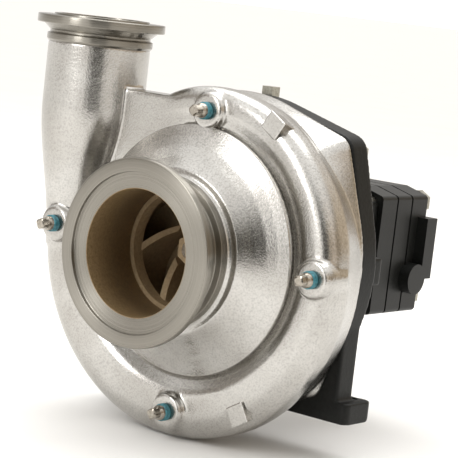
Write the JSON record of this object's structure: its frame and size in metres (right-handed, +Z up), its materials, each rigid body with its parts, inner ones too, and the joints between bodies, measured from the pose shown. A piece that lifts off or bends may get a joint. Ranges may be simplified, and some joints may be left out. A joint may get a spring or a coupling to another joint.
{
  "type": "centrifugal pump",
  "caption": "Stainless volute pump with clamp-flange inlet and outlet on a black foot-mounted frame, driven by a hydraulic gear motor on the same shaft line.",
  "frame": {"origin": "centre of the foot's underside, below the shaft line and midway along the foot's depth", "axes": "+Z up, -Y out of the inlet, +X to the right when looking into the inlet; the outlet is on the -X side and points up"},
  "size_m": [0.2361, 0.2441, 0.2391],
  "materials": {
    "cast_stainless": "bead-blasted casting",
    "turned_stainless": "turned",
    "plug_steel": "cast, satin",
    "thread_sealant": "satin",
    "black_rubber": "moulded",
    "seal_ceramic": "lapped ceramic",
    "seal_carbon": "lapped carbon",
    "bearing_steel": "ground",
    "spring_steel": "phosphated",
    "painted_iron": "satin black paint on cast iron",
    "zinc_steel": "zinc plated",
    "bronze": "turned"
  },
  "bodies": {
    "pump": {"volute_casing": "cast_stainless", "inlet_dome": "cast_stainless", "outlet_pipe": "cast_stainless", "casing_plugs": "plug_steel", "casing_plug_seals": "thread_sealant", "casing_gasket": "black_rubber", "seal_plate": "cast_stainless", "seal_seat_cup": "black_rubber", "seal_seat": "seal_ceramic", "bearing_outer_races": "bearing_steel", "bearing_snap_ring": "spring_steel", "mounting_frame": "painted_iron", "bearing_housing": "painted_iron", "frame_ribs": "painted_iron", "frame_plug": "zinc_steel", "casing_bolts": "zinc_steel", "casing_lock_washers": "zinc_steel", "motor_front_plate": "painted_iron", "motor_gear_plate": "painted_iron", "motor_rear_cover": "painted_iron", "motor_seals": "black_rubber", "motor_bolts": "zinc_steel", "motor_washers": "zinc_steel", "motor_dowels": "bearing_steel", "motor_shaft_seal": "black_rubber", "gear_bushes": "bronze", "bypass_locknut": "zinc_steel"},
    "rotor": {"pump_shaft": "turned_stainless", "impeller": "cast_stainless", "impeller_key": "turned_stainless", "impeller_washer": "turned_stainless", "impeller_nut": "turned_stainless", "seal_face": "seal_carbon", "seal_bellows": "black_rubber", "seal_spring": "turned_stainless", "slinger": "black_rubber", "bearing_inner_races": "bearing_steel", "bearing_spacer": "turned_stainless", "shaft_snap_ring": "spring_steel", "drive_gear": "bearing_steel", "drive_gear_key": "bearing_steel"},
    "idler": {"idler_gear": "bearing_steel", "idler_shaft": "bearing_steel"},
    "bypass": {"bypass_screw": "zinc_steel"}
  },
  "joints": [
    {"name": "shaft_spin", "type": "hinge", "parent": "pump", "child": "rotor", "pos_m": [0, 0.04675, 0.088], "axis": [0, 1, 0], "continuous": true},
    {"name": "idler_spin", "type": "hinge", "parent": "pump", "child": "idler", "pos_m": [-0.03, 0.09925, 0.088], "axis": [0, 1, 0], "continuous": true},
    {"name": "bypass_screw_turn", "type": "hinge", "parent": "pump", "child": "bypass", "pos_m": [-0.048, 0.12875, 0.088], "axis": [0, 1, 0], "range_deg": [0, 540]}
  ],
  "couplings": [
    {"joint": "idler_spin", "follows": "shaft_spin", "ratio": -1}
  ]
}
